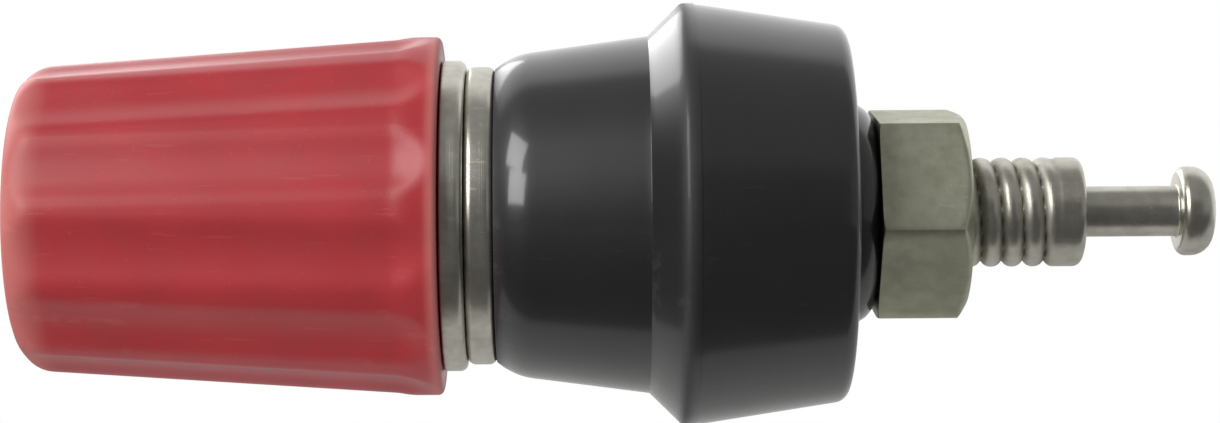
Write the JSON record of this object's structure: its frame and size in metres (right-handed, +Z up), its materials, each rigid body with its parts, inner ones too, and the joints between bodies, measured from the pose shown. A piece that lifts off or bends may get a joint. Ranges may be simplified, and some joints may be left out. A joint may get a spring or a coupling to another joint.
{
  "type": "binding post",
  "caption": "Insulated panel binding post: fluted screw cap that clamps a wire on a metal collar, plug socket in its end, stepped insulators, hexagon nut, threaded stud and headed solder pin.",
  "frame": {"origin": "on the post's axis, in the panel plane where the front and rear insulators meet", "axes": "+X along the axis from the cap to the solder pin, +Z up as the picture shows the post, the picture's camera looks along +Y"},
  "size_m": [0.0424, 0.015, 0.015],
  "materials": {
    "red_plastic": "satin",
    "black_plastic": "satin",
    "nickel": "satin",
    "nut_nickel": "satin"
  },
  "bodies": {
    "post": {"stem": "nickel", "front_insulator": "black_plastic"},
    "ring": {"clamp_ring": "nickel"},
    "cap": {"cap": "red_plastic", "cap_insert": "nickel"},
    "rear": {"rear_insulator": "black_plastic"},
    "nut": {"hex_nut": "nut_nickel"}
  },
  "joints": [
    {"name": "cap_travel", "type": "slide", "parent": "post", "child": "ring", "axis": [-1, 0, 0], "range_m": [0, 0.006]},
    {"name": "cap_turn", "type": "hinge", "parent": "ring", "child": "cap", "pos_m": [0, 0, 0], "axis": [-1, 0, 0], "range_deg": [0, 2880]},
    {"name": "nut_travel", "type": "slide", "parent": "post", "child": "rear", "axis": [1, 0, 0], "range_m": [0, 0.0045]},
    {"name": "nut_turn", "type": "hinge", "parent": "rear", "child": "nut", "pos_m": [0, 0, 0], "axis": [1, 0, 0], "range_deg": [0, 2160]}
  ],
  "couplings": [
    {"joint": "cap_turn", "follows": "cap_travel", "rad_per_m": 8377.6},
    {"joint": "nut_turn", "follows": "nut_travel", "rad_per_m": 8377.6}
  ]
}
